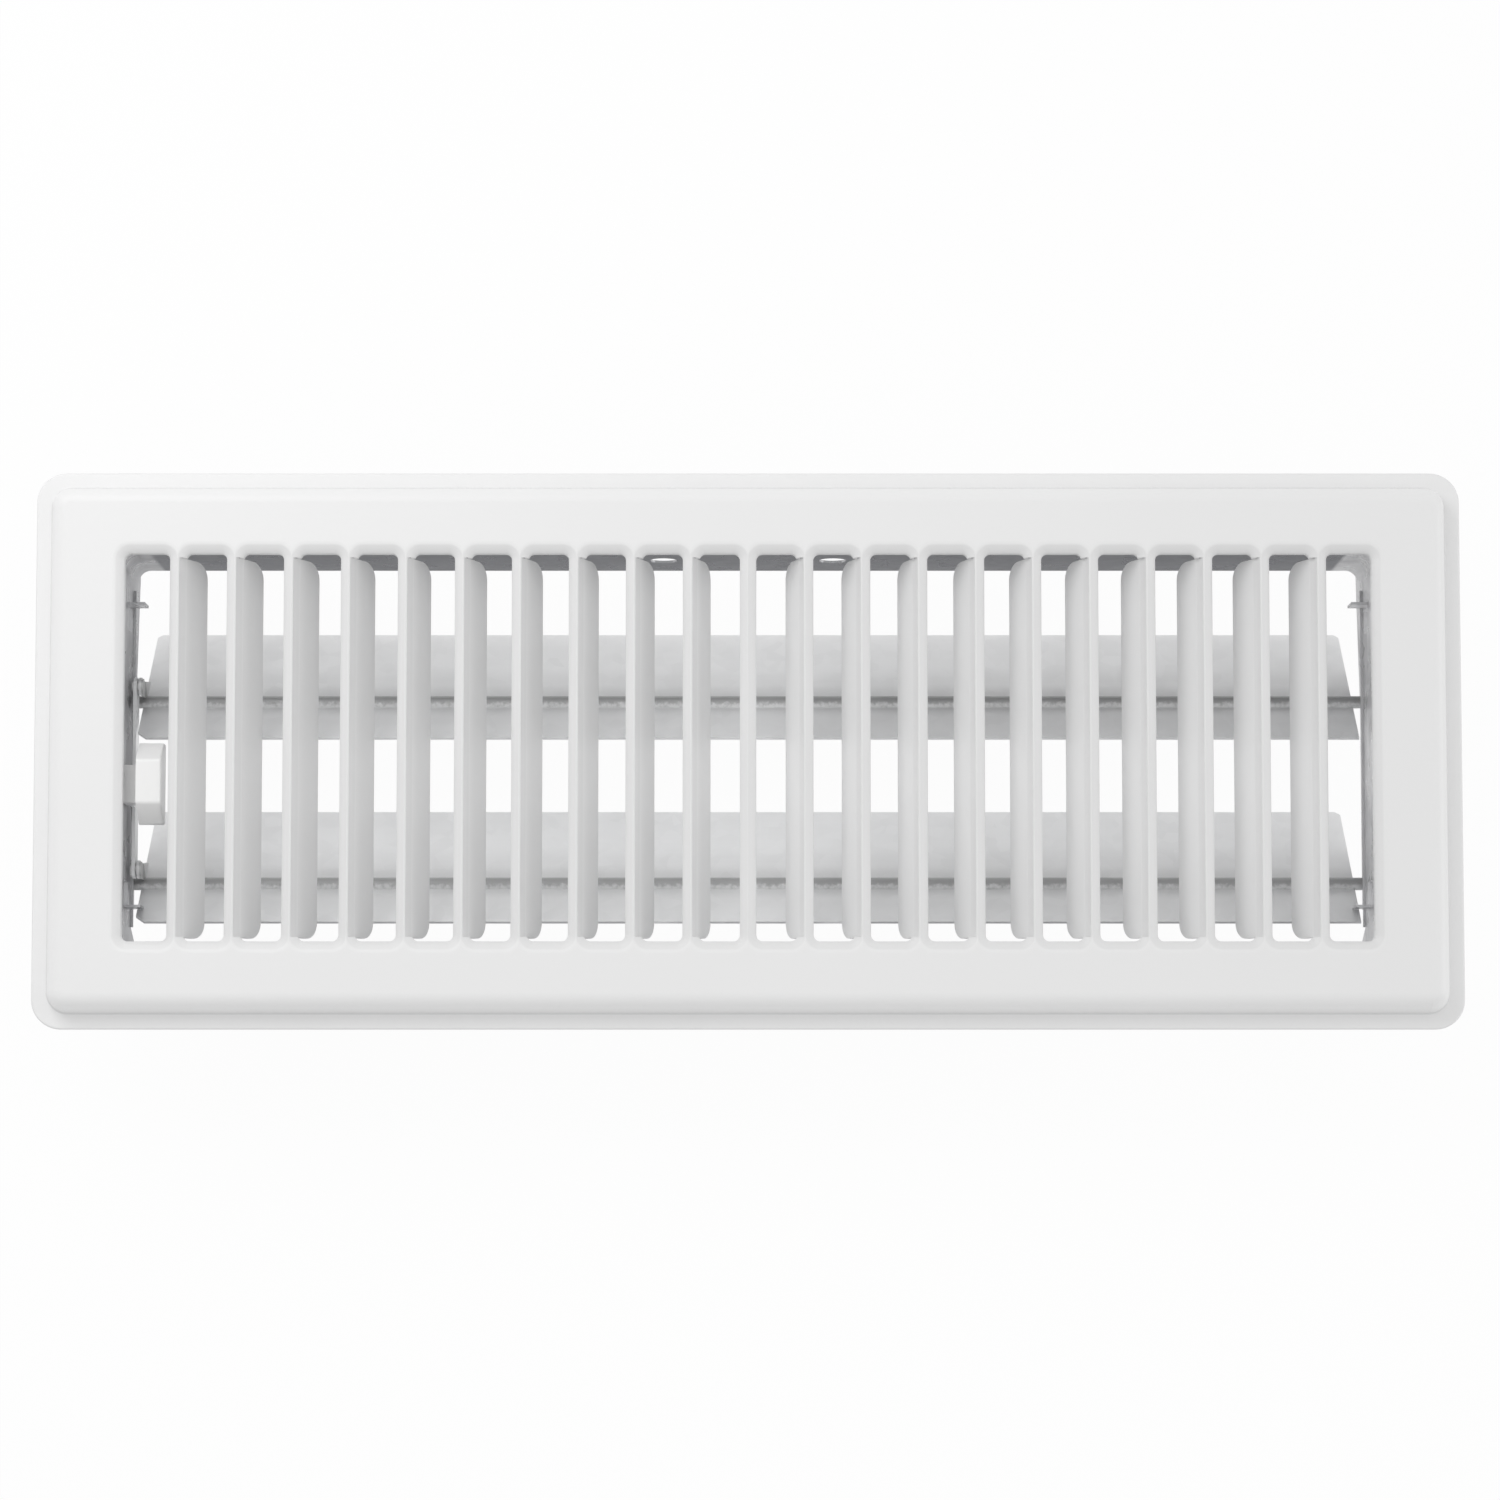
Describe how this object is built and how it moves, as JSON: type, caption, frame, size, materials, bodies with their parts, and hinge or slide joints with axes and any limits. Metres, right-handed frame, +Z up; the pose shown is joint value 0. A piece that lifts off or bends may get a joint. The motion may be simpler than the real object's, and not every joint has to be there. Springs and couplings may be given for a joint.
{
  "type": "floor register",
  "caption": "Stamped steel floor register with louvred face, drop-in collar and a linked two-blade damper worked by a knob in the end slot.",
  "frame": {"origin": "middle of the rim's underside, at the finished floor's level", "axes": "+X along the face towards the end without the knob, +Y across it to the far side, +Z up out of the floor"},
  "size_m": [0.34, 0.1332, 0.0495],
  "materials": {
    "white_enamel": "gloss enamel",
    "galvanised": "galvanised",
    "rivet_steel": "zinc plated",
    "white_plastic": "moulded"
  },
  "bodies": {
    "frame": {"face_plate": "white_enamel", "damper_collar": "galvanised", "end_bracket_left": "galvanised", "end_bracket_right": "galvanised"},
    "far_blade": {"damper_blade_far": "galvanised", "link_rivet_far": "rivet_steel"},
    "near_blade": {"damper_blade_near": "galvanised", "link_rivet_near": "rivet_steel"},
    "link": {"link_bar": "galvanised", "lever_knob": "white_plastic"}
  },
  "joints": [
    {"name": "far_blade_pivot", "type": "hinge", "parent": "frame", "child": "far_blade", "pos_m": [0, 0.01372, -0.0195], "axis": [1, 0, 0], "range_deg": [0, 47.5]},
    {"name": "near_blade_pivot", "type": "hinge", "parent": "frame", "child": "near_blade", "pos_m": [0, -0.03062, -0.0195], "axis": [1, 0, 0], "range_deg": [0, 47.5]},
    {"name": "link_pivot", "type": "hinge", "parent": "far_blade", "child": "link", "pos_m": [-0.1474, 0.01695, -0.01218], "axis": [1, 0, 0], "range_deg": [-47.5, 0]}
  ],
  "couplings": [
    {"joint": "near_blade_pivot", "follows": "far_blade_pivot", "ratio": 1},
    {"joint": "link_pivot", "follows": "far_blade_pivot", "ratio": -1}
  ]
}
